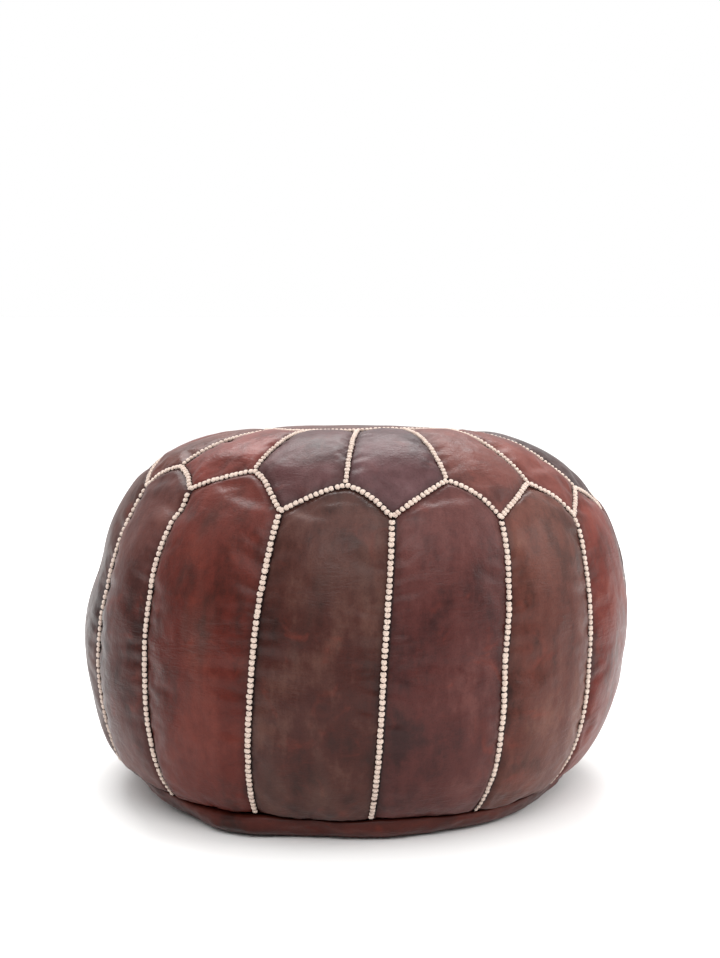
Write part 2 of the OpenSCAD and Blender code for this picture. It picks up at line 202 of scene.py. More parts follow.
class Surface:
    """The stuffed cover's outline, seams and relief, as functions of q and s."""

    def __init__(self, sizes):
        self.sizes = z = sizes
        n = z.roundness
        # Two rounded quarters that meet at the girth. The lower one is as deep as it takes to reach
        # the base seam.
        depth = (z.girth_height - z.seam_height) / (1 - (z.seam_radius / z.body_radius) ** n) ** (1 / n)
        start = math.acos((z.seam_radius / z.body_radius) ** (n / 2))
        rise = z.body_height - z.girth_height
        low = np.linspace(start, 0, 400)[:-1]
        high = np.linspace(0, math.pi / 2, 900)
        r = z.body_radius * np.concatenate([np.cos(low) ** (2 / n),
                                            np.clip(np.cos(high), 0, 1) ** (2 / z.shoulder)])
        h = np.concatenate([z.girth_height - depth * np.sin(low) ** (2 / n),
                            z.girth_height + rise * np.sin(high) ** (2 / z.crown)])
        s = np.concatenate([[0], np.cumsum(np.hypot(np.diff(r), np.diff(h)))])
        self.s = np.linspace(0, s[-1], 1200)
        self.r = np.interp(self.s, s, r)
        self.h = np.interp(self.s, s, h)
        dr, dh = np.gradient(self.r), np.gradient(self.h)
        size = np.hypot(dr, dh)
        self.nr, self.nh = dh / size, -dr / size
        self.top_s = s[-1]
        self.medallion_s = float(np.interp(-z.medallion_radius, -self.r[600:], self.s[600:]))

    def s_at(self, height):
        return np.interp(height, self.h, self.s)

    def angle(self, q, height):
        """Polar angle of a place, with the stray of the seams around it."""
        q, height = np.broadcast_arrays(np.asarray(q, float), np.asarray(height, float))
        rows = np.array([np.polyfit(STRAY_HEIGHTS, [v * MM for v in row], 2) for row in SEAM_STRAY])
        rows = np.vstack([rows, rows[:1]])
        level = np.clip(height, 0.03, STRAY_HEIGHTS[2])
        at = np.mod(q, PANELS)
        bend, slope, fixed = (np.interp(at, np.arange(PANELS + 1), rows[:, k]) for k in range(3))
        side = (bend * level ** 2 + slope * level + fixed) / self.sizes.body_radius
        petals = np.radians(np.interp(at - 0.5, np.arange(PANELS), PETAL_STRAY, period=PANELS))
        seams = np.arange(PANELS + 1)
        feet = (self.sizes.point_height + np.array(POINT_RISE + POINT_RISE[:1]) * MM
                + RING_TILT * np.sin(self.sizes.first_seam + seams * STEP))
        share = np.clip((height - np.interp(at, seams, feet) + 0.001) / 0.021, 0, 1)
        share = share * share * (3 - 2 * share)
        return self.sizes.first_seam - math.pi / 2 + q * STEP + side * (1 - share) + petals * share

    def zigzag_height(self, q):
        """Height of the seam between side panels and petals: arches with sharp feet."""
        q = np.asarray(q, float)
        lower = np.floor(q).astype(int)
        share = q - lower
        away = np.abs(2 * share - 1)
        arch = 0.45 * (1 - away) + 0.55 * (1 - away ** 2)
        points, notches = np.array(POINT_RISE) * MM, np.array(NOTCH_RISE) * MM
        foot = np.where(share < 0.5, points[lower % PANELS], points[(lower + 1) % PANELS])
        foot = foot + self.sizes.point_height
        notch = notches[lower % PANELS] + self.sizes.notch_height - 0.002
        return foot + (notch - foot) * arch + RING_TILT * np.sin(self.sizes.first_seam + q * STEP)

    def zigzag_s(self, q):
        return self.s_at(self.zigzag_height(q))

    def turn(self, q):
        """Angle of a place from the front, positive to the right, from -pi to pi."""
        return np.mod(self.sizes.first_seam + np.asarray(q, float) * STEP + math.pi, 2 * math.pi) - math.pi

    def base_height(self, q):
        """Height of the base seam, which rides up on the left where the pouf leans out."""
        turn = self.turn(q)
        left = np.exp(-((turn + 1.45) / 0.55) ** 2)
        step = np.exp(-((turn + 0.33) / 0.16) ** 2)
        waves = (0.0012 * (1 + np.sin(2 * turn - 0.6)) * np.cos(turn / 2) ** 2
                 + 0.0010 * np.sin(3 * turn + 1) ** 2)
        return self.sizes.seam_height - 0.0005 + 0.018 * left + 0.0030 * step + waves

    def base_s(self, q):
        return self.s_at(self.base_height(q))

    def place(self, q, s, lift=0.0):
        """Points of the cover and its outward directions, lifted off the plain outline."""
        q, s = np.broadcast_arrays(np.asarray(q, float), np.asarray(s, float))
        r, h = np.interp(s, self.s, self.r), np.interp(s, self.s, self.h)
        nr, nh = np.interp(s, self.s, self.nr), np.interp(s, self.s, self.nh)
        a = self.angle(q, h)
        out = np.stack([nr * np.cos(a), nr * np.sin(a), nh], -1)
        flat = np.stack([r * np.cos(a), r * np.sin(a), h], -1)
        rise = self.lumps(flat)
        for turn, height, deep, wide, tall in HOLLOWS:
            off = np.angle(np.exp(1j * (a + math.pi / 2 - math.radians(turn)))) * r
            rise = rise - deep * np.exp(-(off / wide) ** 2 - ((h - height) / tall) ** 2)
        points = flat + out * (np.asarray(lift) + rise)[..., None]
        rise = (h - self.sizes.girth_height) / (self.sizes.body_height - self.sizes.girth_height)
        late = np.clip(rise, 0, 1) ** CROWN_START
        # It tips less behind the middle, where the stuffing holds it up.
        y = points[..., 1]
        points[..., 2] -= CROWN_TIP * late * (TIP_EVEN * y - TIP_UNEVEN * np.hypot(y, 0.04))
        points[..., 1] += CROWN_SLIDE[1] * late
        points[..., 0] += lean(h) + CROWN_SLIDE[0] * late
        return points, out

    def lumps(self, points):
        """Unevenness of the stuffing under the leather."""
        size = self.sizes.lumps
        return size * soft_noise(points, 0.105, 3.1) + 0.35 * size * soft_noise(points, 0.038, 8.7)


def lean(height):
    """How far the body has leant to the right at a height."""
    away = height - LEAN_PIVOT
    return LEAN * away + LEAN_GROWTH * away * np.abs(away)


def soft_noise(points, size, seed):
    """Smooth noise of about -1 to 1 with lumps of the given size."""
    flat = points.reshape(-1, 3)
    shift = Vector((seed, seed * 1.7, -seed))
    return np.array([noise.noise(Vector(p) / size + shift) for p in flat]).reshape(points.shape[:-1]) * 1.6


def near(a, b, softness=0.005):
    """The smaller of two distances, rounded where they meet."""
    return softness * (np.log(2) * np.exp(-np.abs(a - b) / softness)
                       - np.logaddexp(-a / softness, -b / softness))


def relief(sizes, dist, puff):
    """How a panel is pulled in at its seams and swells between them."""
    return (-sizes.groove * np.exp(-(dist / 0.0045) ** 2)
            + puff * (1 - np.exp(-np.clip(dist, 0, None) / 0.024)))


def puckers(along, across, seed):
    """Small gathers that run out from a seam, strongest close to it."""
    points = np.stack([along / 0.011, across / 0.045, np.full(along.shape, seed)], -1)
    gathers = np.array([noise.noise(Vector(p)) for p in points.reshape(-1, 3)]).reshape(along.shape)
    return 0.0011 * gathers * np.exp(-across / 0.017) * (1 - np.exp(-across / 0.003))


class Patch:
    """One piece of leather as a grid of points, with its distances from the seams."""

    def __init__(self, name, points, uv, seam, edge):
        self.name, self.points, self.uv = name, points, uv
        self.seam, self.edge = seam, edge       # distance from the nearest seam, and from the painted line of shade beside a braid


def side_patch(surface, k, columns=28, rows=84):
    """The side panel between side seams k and k + 1."""
    sizes = surface.sizes
    u, v = np.meshgrid(np.linspace(0, 1, columns + 1), np.linspace(0, 1, rows + 1))
    q = k + u
    foot, head = surface.base_s(q), surface.zigzag_s(q)
    s = foot + (head - foot) * v
    h, r = np.interp(s, surface.s, surface.h), np.interp(s, surface.s, surface.r)
    width = r * (surface.angle(np.full(q.shape, k + 1.0), h) - surface.angle(np.full(q.shape, float(k)), h))
    left, right = u * width, (1 - u) * width
    top, bottom = (head - s) * 0.86, s - foot
    dist = near(near(left, right), near(top, bottom))
    lift = relief(sizes, dist, sizes.side_puff)
    lift += puckers(s, left, 11 + k) + puckers(s, right, 31 + k) + puckers(left, top, 51 + k)
    lift += puckers(left, bottom, 71 + k)
    # The panel turns under at the base seam.
    lift -= 0.0012 * np.exp(-(bottom / 0.004) ** 2)
    points, _ = surface.place(q, s, lift)
    # The painted line of shade lies beside side seam k and along the base seam.
    edge = np.minimum(left, bottom + 0.0030)
    return Patch(f"side_panel_{k + 1}", points, np.stack([left - right, s], -1),
                 np.minimum(np.minimum(left, right), np.minimum(top, bottom)), edge)


def petal_patch(surface, k, columns=28, rows=36):
    """The petal whose point hangs over side seam k."""
    sizes = surface.sizes
    u, v = np.meshgrid(np.linspace(0, 1, columns + 1), np.linspace(0, 1, rows + 1))
    q = k - 0.5 + u
    start = surface.zigzag_s(q)
    s = start + (surface.medallion_s - start) * v
    h, r = np.interp(s, surface.s, surface.h), np.interp(s, surface.s, surface.r)
    width = r * (surface.angle(np.full(q.shape, k + 0.5), h) - surface.angle(np.full(q.shape, k - 0.5), h))
    left, right = u * width, (1 - u) * width
    bottom, top = (s - start) * 0.86, surface.medallion_s - s
    dist = near(near(left, right), near(top, bottom))
    lift = relief(sizes, dist, sizes.petal_puff)
    lift += puckers(s, left, 91 + k) + puckers(s, right, 111 + k) + puckers(left, bottom, 131 + k)
    points, _ = surface.place(q, s, lift)
    # The painted line of shade lies along the zigzag seam and beside the seam at the petal's start.
    edge = np.minimum(bottom, left + 0.0016)
    return Patch(f"top_petal_{k + 1}", points, np.stack([left - right, s], -1),
                 np.minimum(np.minimum(left, right), np.minimum(top, bottom)), edge)


# ---- Mesh helpers ----------------------------------------------------------------------


def deselect():
    """Leaves object mode with nothing selected."""
    if bpy.context.object and bpy.context.object.mode != "OBJECT":
        bpy.ops.object.mode_set(mode="OBJECT")
    bpy.ops.object.select_all(action="DESELECT")


def only(obj):
    """Makes obj the only selected object, and the active one."""
    deselect()
    obj.select_set(True)
    bpy.context.view_layer.objects.active = obj
    return obj


def apply_modifier(obj, kind, **settings):
    """Adds a modifier with these settings and applies it."""
    only(obj)
    modifier = obj.modifiers.new(kind.title(), kind)
    for name, value in settings.items():
        setattr(modifier, name, value)
    bpy.ops.object.modifier_apply(modifier=modifier.name)


def new_object(name, points, faces):
    """A piece with these points and faces."""
    mesh = bpy.data.meshes.new(name)
    mesh.from_pydata([tuple(p) for p in points], [], [tuple(f) for f in faces])
    mesh.update()
    obj = bpy.data.objects.new(name, mesh)
    bpy.context.scene.collection.objects.link(obj)
    return obj


def grid_faces(rows, columns):
    """Quads of a grid whose points run along the columns first, facing outwards."""
    at = np.arange(rows * columns).reshape(rows, columns)
    return np.stack([at[:-1, :-1], at[:-1, 1:], at[1:, 1:], at[1:, :-1]], -1).reshape(-1, 4)


def set_attribute(mesh, name, values):
    """Stores one number for each point of a mesh, for its material to read."""
    data = mesh.attributes.new(name, "FLOAT", "POINT").data
    data.foreach_set("value", np.asarray(values, np.float32).ravel())


def set_uv(mesh, name, places):
    """Gives a mesh a UV map with one place for each of its points."""
    corners = np.zeros(len(mesh.loops), int)
    mesh.loops.foreach_get("vertex_index", corners)
    data = mesh.uv_layers.new(name=name).data
    data.foreach_set("uv", places[corners].astype(np.float32).ravel())


def smooth(obj):
    """Shades a piece smooth."""
    only(obj)
    bpy.ops.object.shade_smooth()


def leather_piece(patch, thickness, levels=1):
    """A closed piece of leather of even thickness from a patch."""
    rows, columns = patch.points.shape[:2]
    obj = new_object(patch.name + "_leather", patch.points.reshape(-1, 3), grid_faces(rows, columns))
    mesh = obj.data
    set_attribute(mesh, "seam_distance", patch.seam)
    set_attribute(mesh, "edge_distance", patch.edge)
    set_uv(mesh, "cut", patch.uv.reshape(-1, 2))
    if levels:
        apply_modifier(obj, "SUBSURF", levels=levels, render_levels=levels,
                       boundary_smooth="PRESERVE_CORNERS")
    apply_modifier(obj, "SOLIDIFY", thickness=thickness, offset=-1, use_even_offset=False)
    smooth(obj)
    return obj


# Supple leather that gives a little as it is stuffed tight.
LEATHER_CLOTH = {
    "quality": 5, "mass": 0.6, "tension_stiffness": 40, "compression_stiffness": 40, "shear_stiffness": 20,
    "bending_stiffness": 2, "tension_damping": 25, "compression_damping": 25, "air_damping": 3,
    "use_pressure": True, "uniform_pressure_force": 4, "shrink_min": -0.022,
}


def inflate(patches, cap=0.004):
    """Cloth simulation of patches sewn together, pinned along every seam and blown up from inside.

    The points of the patches move by at most the cap, so the seams and the outline stay true."""
    stacked = np.concatenate([p.points.reshape(-1, 3) for p in patches])
    pinned = np.concatenate([(p.seam < 1e-6).ravel() for p in patches])
    _, first, back = np.unique(np.round(stacked / (0.02 * MM)).astype(np.int64), axis=0,
                               return_index=True, return_inverse=True)
    back = back.ravel()
    faces, offset = [], 0
    for p in patches:
        rows, columns = p.points.shape[:2]
        faces.append(back[grid_faces(rows, columns) + offset])
        offset += rows * columns
    rest = stacked[first]
    obj = new_object("cover_blank", rest, np.concatenate(faces))
    group = obj.vertex_groups.new(name="seams")
    held = np.zeros(len(rest), bool)
    np.logical_or.at(held, back, pinned)
    group.add([int(k) for k in np.flatnonzero(held)], 1.0, "REPLACE")
    only(obj)
    cloth = obj.modifiers.new("Cloth", "CLOTH")
    for setting, value in LEATHER_CLOTH.items():
        setattr(cloth.settings, setting, value)
    cloth.settings.vertex_group_mass = "seams"
    cloth.settings.effector_weights.gravity = 0
    cloth.collision_settings.use_collision = False
    scene = bpy.context.scene
    for step in range(1, 21):
        scene.frame_set(step)
    only(obj)
    bpy.ops.object.modifier_apply(modifier=cloth.name)
    after = np.zeros(len(rest) * 3)
    obj.data.vertices.foreach_get("co", after)
    scene.frame_set(1)
    move = after.reshape(-1, 3) - rest
    size = np.linalg.norm(move, axis=1, keepdims=True)
    move *= cap * np.tanh(size / cap) / np.maximum(size, 1e-12)
    bpy.data.objects.remove(obj)
    offset = 0
    for p in patches:
        count = p.points.shape[0] * p.points.shape[1]
        p.points = p.points + move[back[offset:offset + count]].reshape(p.points.shape)
        offset += count


def finish_piece(obj, material, nodes, body="pouf"):
    """Gives a piece its material, slot and body, and hides the CAD nodes that it stands for."""
    obj.data.materials.clear()
    obj.data.materials.append(material)
    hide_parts(*nodes)
    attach(obj, body)


# ---- Materials -------------------------------------------------------------------------


# Settings of the nodes that are used most. A mix of colours has its share in socket 0 and the colours
# in 6 and 7. A range takes a value, the ends it comes from and the ends it goes to.
MIX = {"data_type": "RGBA", "blend_type": "MIX"}
DARKEN = {"data_type": "RGBA", "blend_type": "MULTIPLY"}
RANGE = {"interpolation_type": "SMOOTHSTEP"}
SUM = {"operation": "ADD"}
PRODUCT = {"operation": "MULTIPLY"}
PRODUCT_AND_SUM = {"operation": "MULTIPLY_ADD"}
LARGER = {"operation": "MAXIMUM"}
ZIGZAG = {"operation": "PINGPONG"}
NOISE = {"noise_dimensions": "4D"}


def plug(tree, node, sockets):
    """Puts a value or a link in each of a node's sockets, given by name or in their order.

    A node that is linked stands for its first live output."""
    for name, value in sockets.items() if isinstance(sockets, dict) else enumerate(sockets):
        socket = node.inputs[name]
        if isinstance(value, bpy.types.Node):
            value = next(output for output in value.outputs if output.enabled)
        if isinstance(value, bpy.types.NodeSocket):
            tree.links.new(value, socket)
        elif socket.type == "RGBA":
            socket.default_value = (*value, 1.0)
        else:
            socket.default_value = value


def add(tree, kind, settings, sockets=()):
    """Adds a shader node with its settings and with what goes in its sockets."""
    node = tree.nodes.new("ShaderNode" + kind)
    for name, value in settings.items():
        setattr(node, name, value)
    plug(tree, node, sockets)
    return node


def new_material(name):
    """An empty material with a surface shader, and the shader's tree."""
    material = bpy.data.materials.new(name)
    material.use_nodes = True
    tree = material.node_tree
    tree.nodes.clear()
    shader = add(tree, "BsdfPrincipled", {})
    add(tree, "OutputMaterial", {}, {"Surface": shader})
    return material, tree, shader


def coats(tree, base, layers):
    """Lays colours over a base. Each layer has its blend, its range, which says how thickly it lies,
    and its colour."""
    for blend, thickness, tint in layers:
        share = add(tree, "MapRange", RANGE, thickness)
        base = add(tree, "Mix", blend, {0: share, 6: base, 7: tint})
    return base


# Vegetable-tanned goat leather, hand dyed and waxed. Each skin takes the dye in cloudy patches and
# in streaks along its length, with a pebbled grain, soft creases and a dull wax shine.
def goat_leather(name, dye, seed, streak=(1, 1, 0.3), painted_sheen=0.30):
    dark, middle, light = (to_linear(c) for c in dye)
    material, tree, shader = new_material(name)
    place = add(tree, "TexCoord", {}).outputs["Object"]
    along = add(tree, "Mapping", {}, {"Vector": place, "Scale": streak})
    clouds = add(tree, "TexNoise", NOISE, {"Vector": place, "W": seed, "Scale": 1 / 0.085, "Detail": 3,
                                           "Roughness": 0.55, "Distortion": 0.4})
    streaks = add(tree, "TexNoise", NOISE, {"Vector": along, "W": seed + 5, "Scale": 1 / 0.016,
                                            "Detail": 4, "Roughness": 0.6})
    mottle = add(tree, "TexNoise", NOISE, {"Vector": place, "W": seed + 9, "Scale": 1 / 0.009,
                                           "Detail": 3, "Roughness": 0.6})
    tone = add(tree, "Math", PRODUCT, (mottle, 0.16))
    tone = add(tree, "Math", PRODUCT_AND_SUM, (streaks, 0.34, tone))
    tone = add(tree, "Math", PRODUCT_AND_SUM, (clouds, 0.50, tone))
    dull = add(tree, "TexNoise", NOISE, {"Vector": along, "W": seed + 14, "Scale": 1 / 0.055,
                                         "Detail": 3, "Roughness": 0.6})
    thin = add(tree, "TexNoise", NOISE, {"Vector": place, "W": seed + 21, "Scale": 1 / 0.034,
                                         "Detail": 3, "Roughness": 0.6, "Distortion": 0.8})
    base = coats(tree, dark, (
        (MIX, (tone, 0.38, 0.52), middle),
        (MIX, (tone, 0.50, 0.64), light),
        # Grey-green bloom where the wax has dulled, and redder places where the dye has worn thin.
        (MIX, (dull, 0.52, 0.74, 0.0, 0.26), to_linear("#4C423C")),
        (MIX, (thin, 0.56, 0.76, 0.0, 0.38), to_linear("#6E2A1C")),
    ))
    # The crown is painted paler as a painted highlight of the lights above, and the foot as a painted
    # reflection of the bright floor, both in streaks.
    level = add(tree, "SeparateXYZ", {}, {0: place}).outputs["Z"]
    crown = add(tree, "MapRange", RANGE, (level, 0.19, 0.30, 0.0, painted_sheen))
    foot = add(tree, "MapRange", RANGE, (level, 0.02, 0.11, painted_sheen * 0.65, 0.0))
    streaky = add(tree, "MapRange", RANGE, (streaks, 0.30, 0.62, 0.55, 1.25))
    # Share of the painted sheen, which is mixed in with a paler colour.
    rubbed = add(tree, "Math", PRODUCT, (add(tree, "Math", SUM, (crown, foot)), streaky))
    painted_sheen_colour = tuple(min(1.0, c * 1.45 + 0.016) for c in light)
    base = add(tree, "Mix", MIX, {0: rubbed, 6: base, 7: painted_sheen_colour})
    # Pores, 2 mm apart, a little coarser than the real ones so that they show.
    pores = add(tree, "TexVoronoi", {"feature": "F1"},
                {"Vector": place, "Scale": 1 / 0.0021, "Randomness": 1.0}).outputs["Distance"]
    reach = add(tree, "Attribute", {"attribute_name": "seam_distance"}).outputs["Fac"]
    edge = add(tree, "Attribute", {"attribute_name": "edge_distance"}).outputs["Fac"]
    base = coats(tree, base, (
        (DARKEN, (pores, 0.10, 0.55, 0.16, 0.0), to_linear("#6A5048")),
        # Darker along the seams, partly where dye gathers and partly painted shade in the seam grooves, and a
        # painted black line of shade beside a braid.
        (DARKEN, (reach, 0.0, 0.013, 0.50, 0.0), to_linear("#6B5450")),
        (MIX, (edge, 0.0026, 0.0044, 0.80, 0.0), to_linear("#120808")),
    ))
    shine = add(tree, "MapRange", RANGE, (clouds, 0.3, 0.7, 0.34, 0.44))
    scuffs = add(tree, "MapRange", RANGE, (mottle, 0.3, 0.7, -0.03, 0.05))
    # Grain and pores, then creases of about 6 mm across the stretch of the skin, in places, then
    # dents from the stuffing.
    grain = add(tree, "TexNoise", NOISE, {"Vector": place, "W": seed + 2, "Scale": 1 / 0.0016,
                                          "Detail": 2, "Roughness": 0.6})
    pebbles = add(tree, "Math", PRODUCT_AND_SUM, (pores, 0.45, add(tree, "Math", PRODUCT, (grain, 0.55))))
    bump = add(tree, "Bump", {}, {"Strength": 0.35, "Distance": 0.0006, "Height": pebbles})
    across = add(tree, "Mapping", {}, {"Vector": place, "Scale": (0.35, 0.35, 1.5)})
    creases = add(tree, "TexNoise", NOISE, {"Vector": across, "W": seed + 31, "Scale": 1 / 0.0062,
                                            "Detail": 4, "Roughness": 0.64, "Distortion": 0.7})
    places = add(tree, "TexNoise", NOISE, {"Vector": place, "W": seed + 40, "Scale": 1 / 0.05, "Detail": 2})
    folds = add(tree, "Math", PRODUCT, (creases, add(tree, "MapRange", RANGE, (places, 0.42, 0.66))))
    bump = add(tree, "Bump", {}, {"Strength": 0.45, "Distance": 0.0022, "Height": folds, "Normal": bump})
    dents = add(tree, "TexNoise", NOISE, {"Vector": place, "W": seed + 51, "Scale": 1 / 0.022, "Detail": 2})
    bump = add(tree, "Bump", {}, {"Strength": 0.35, "Distance": 0.005, "Height": dents, "Normal": bump})
    plug(tree, shader, {"Base Color": middle})      # for viewers that don't follow the nodes
    plug(tree, shader, {"Base Color": base, "Roughness": add(tree, "Math", SUM, (shine, scuffs)),
                        "Normal": bump, "IOR": 1.48, "Specular IOR Level": 0.20})
    return material


# Soft unwaxed cotton, six strands worked together. Matt, with fine twisted fibres and a slightly
# fuzzy edge that catches the light.
def cotton_braid(colours):
    material, tree, shader = new_material("cotton_embroidery_thread")
    place = add(tree, "TexCoord", {}).outputs["Object"]
    run = add(tree, "UVMap", {"uv_map": "knot"})
    strands = add(tree, "TexWave", {"wave_type": "BANDS", "bands_direction": "Y"},
                  {"Vector": run, "Scale": 2.2, "Distortion": 1.6, "Detail": 2.0, "Detail Scale": 3.0})
    strands = strands.outputs["Fac"]
    soil = add(tree, "TexNoise", NOISE, {"Vector": place, "W": 2.0, "Scale": 1 / 0.006, "Detail": 3,
                                         "Roughness": 0.6})
    shade = tuple(colours.braid_shade_and_soil)
    base = coats(tree, tuple(colours.braid), (
        # Painted shade between the strands, then soiled places in the same colour.
        (MIX, (strands, 0.0, 0.55, 0.55, 0.0), shade),
        (MIX, (soil, 0.45, 0.75, 0.0, 0.35), shade),
    ))
    rough = add(tree, "MapRange", RANGE, (soil, 0.3, 0.7, 0.78, 0.92))
    bump = add(tree, "Bump", {}, {"Strength": 0.6, "Distance": 0.0004, "Height": strands})
    plug(tree, shader, {"Base Color": base, "Roughness": rough, "Normal": bump, "Sheen Weight": 0.25,
                        "Sheen Roughness": 0.5, "Specular IOR Level": 0.25})
    return material


# Waxed bonded thread: two plies twisted hard, dark, with a faint wax gleam on each turn.
def waxed_thread(colours):
    material, tree, shader = new_material("waxed_sewing_thread")
    place = add(tree, "TexCoord", {}).outputs["Object"]
    plies = add(tree, "TexWave", {"wave_type": "BANDS", "bands_direction": "DIAGONAL"},
                {"Vector": place, "Scale": 260.0, "Distortion": 0.6}).outputs["Fac"]
    wax = add(tree, "TexNoise", NOISE, {"Vector": place, "W": 4.0, "Scale": 1 / 0.003, "Detail": 3})
    base = coats(tree, tuple(colours.dark_thread), (
        (MIX, (plies, 0.2, 0.9, 0.0, 0.6), to_linear("#4A322C")),
    ))
    rough = add(tree, "MapRange", RANGE, (wax, 0.3, 0.7, 0.40, 0.62))
    bump = add(tree, "Bump", {}, {"Strength": 0.6, "Distance": 0.0002, "Height": plies})
    plug(tree, shader, {"Base Color": base, "Roughness": rough, "Normal": bump})
    return material


# Woven polyester tape: a herringbone of fine threads, 1 mm a rib, flat and slightly dusty.
def woven_tape(colours):
    material, tree, shader = new_material("herringbone_polyester_tape")
    place = add(tree, "TexCoord", {}).outputs["Object"]
    split = add(tree, "SeparateXYZ", {}, {0: place})
    rib = add(tree, "Math", ZIGZAG, (split.outputs["Y"], 0.0035))
    slant = add(tree, "Math", SUM, (split.outputs["X"], rib))
    weave = add(tree, "Math", ZIGZAG, (slant, 0.0005))
    dust = add(tree, "TexNoise", NOISE, {"Vector": place, "W": 6.0, "Scale": 1 / 0.007, "Detail": 3,
                                         "Roughness": 0.6})
    shade = add(tree, "MapRange", RANGE, (weave, 0.0, 0.0005, 0.0, 1.0))
    base = add(tree, "Mix", MIX, {0: shade, 6: to_linear("#1E1412"), 7: tuple(colours.tape)})
    base = coats(tree, base, ((MIX, (dust, 0.5, 0.8, 0.0, 0.3), to_linear("#6B5A52")),))
    rough = add(tree, "MapRange", RANGE, (dust, 0.3, 0.7, 0.70, 0.86))
    bump = add(tree, "Bump", {}, {"Strength": 0.7, "Distance": 0.0003, "Height": shade})
    plug(tree, shader, {"Base Color": base, "Roughness": rough, "Normal": bump})
    return material


# Brass that was plated and then darkened: bright where it rubs, brown in its hollows, with fine
# scratches along the pull.
def antique_brass(colours, name, bright):
    material, tree, shader = new_material(name)
    place = add(tree, "TexCoord", {}).outputs["Object"]
    stretch = add(tree, "Mapping", {}, {"Vector": place, "Scale": (0.15, 1.0, 1.0)})
    patches = add(tree, "TexNoise", NOISE, {"Vector": place, "W": 7.0, "Scale": 1 / 0.005, "Detail": 4,
                                            "Roughness": 0.6})
    scratches = add(tree, "TexNoise", NOISE, {"Vector": stretch, "W": 3.0, "Scale": 1 / 0.0006,
                                              "Detail": 2, "Roughness": 0.7})
    base = coats(tree, tuple(colours.brass), (
        (MIX, (patches, 0.35, 0.65, 1 - bright, 0.1), tuple(colours.tarnish)),
    ))
    rough = add(tree, "MapRange", RANGE, (patches, 0.3, 0.7, 0.48, 0.26))
    bump = add(tree, "Bump", {}, {"Strength": 0.35, "Distance": 0.00015, "Height": scratches})
    plug(tree, shader, {"Base Color": base, "Roughness": rough, "Normal": bump, "Metallic": 1.0})
    return material


# Shredded cotton and wool rags: a tangle of undyed, faded scraps about 15 mm long.
def shredded_rags():
    material, tree, shader = new_material("shredded_rag_stuffing")
    place = add(tree, "TexCoord", {}).outputs["Object"]
    scraps = add(tree, "TexVoronoi", {"feature": "F1"},
                 {"Vector": place, "Scale": 1 / 0.015, "Randomness": 1.0})
    fibre = add(tree, "TexNoise", NOISE, {"Vector": place, "W": 1.0, "Scale": 1 / 0.0015, "Detail": 3,
                                          "Roughness": 0.7})
    hue = add(tree, "SeparateColor", {}, {0: scraps.outputs["Color"]}).outputs["Red"]
    base = add(tree, "Mix", MIX, {0: hue, 6: to_linear("#8C7B68"), 7: to_linear("#D8CDB8")})
    base = coats(tree, base, (
        # Painted shade between the scraps: darker towards the edge of each.
        (DARKEN, (scraps.outputs["Distance"], 0.3, 0.9, 0.0, 0.6), to_linear("#5A5048")),
    ))
    rough = add(tree, "MapRange", RANGE, (fibre, 0.3, 0.7, 0.85, 0.98))
    bump = add(tree, "Bump", {}, {"Strength": 0.8, "Distance": 0.002, "Height": fibre})
    plug(tree, shader, {"Base Color": base, "Roughness": rough, "Normal": bump})
    return material


# Matt painted floor, with the faint roller texture of paint.
def painted_floor(colours):
    material, tree, shader = new_material("matt_floor_paint")
    place = add(tree, "TexCoord", {}).outputs["Object"]
    roller = add(tree, "TexNoise", NOISE, {"Vector": place, "W": 1.0, "Scale": 1 / 0.006, "Detail": 2})
    wear = add(tree, "TexNoise", NOISE, {"Vector": place, "W": 2.0, "Scale": 1 / 0.6, "Detail": 3})
    floor = tuple(colours.floor)
    base = coats(tree, floor, ((MIX, (wear, 0.3, 0.7, 0.0, 0.5), tuple(c * 0.97 for c in floor)),))
    bump = add(tree, "Bump", {}, {"Strength": 0.05, "Distance": 0.0005, "Height": roller})
    plug(tree, shader, {"Base Color": base, "Roughness": 0.8, "Normal": bump, "Specular IOR Level": 0.2})
    return material


# ---- Knots of the braids ---------------------------------------------------------------


def ball_mesh(segments, rings, turn):
    """Points and faces of a ball of radius 1, turned so that its poles lie across or along X."""
    deselect()
    bpy.ops.mesh.primitive_uv_sphere_add(segments=segments, ring_count=rings, radius=1, rotation=turn)
    ball = bpy.context.object
    bpy.ops.object.transform_apply(location=False, rotation=True, scale=False)
    points = np.array([v.co for v in ball.data.vertices])
    faces = [tuple(p.vertices) for p in ball.data.polygons]
    bpy.data.objects.remove(ball)
    return points, faces


def knot_template(sizes):
    """One knot of the braid: two plump lobes side by side with a dip between them.

    It runs along X, is wide along Y and rises along Z. Returns its points, faces and places
    across and along the knot."""
    ball, faces = ball_mesh(10, 6, (math.pi / 2, 0, 0))
    along, across, up = ball.T
    dip = np.exp(-(across / 0.30) ** 2)
    # The thread is pulled flat against its neighbours, so a knot is squarer than a ball.
    length_along = sizes.stitch_pitch * 0.53 * np.sign(along) * np.abs(along) ** 0.86 * (1 - 0.16 * dip)
    # Both lobes lean forwards, as the thread pulls through the middle.
    length_along = length_along + sizes.stitch_pitch * 0.16 * (np.abs(across) - 0.5)
    points = np.stack([length_along, across * sizes.stitch_width / 2,
                       up * sizes.stitch_rise * (1 - 0.34 * dip)], -1)
    return points, faces, np.stack([across, length_along / sizes.stitch_pitch], -1)


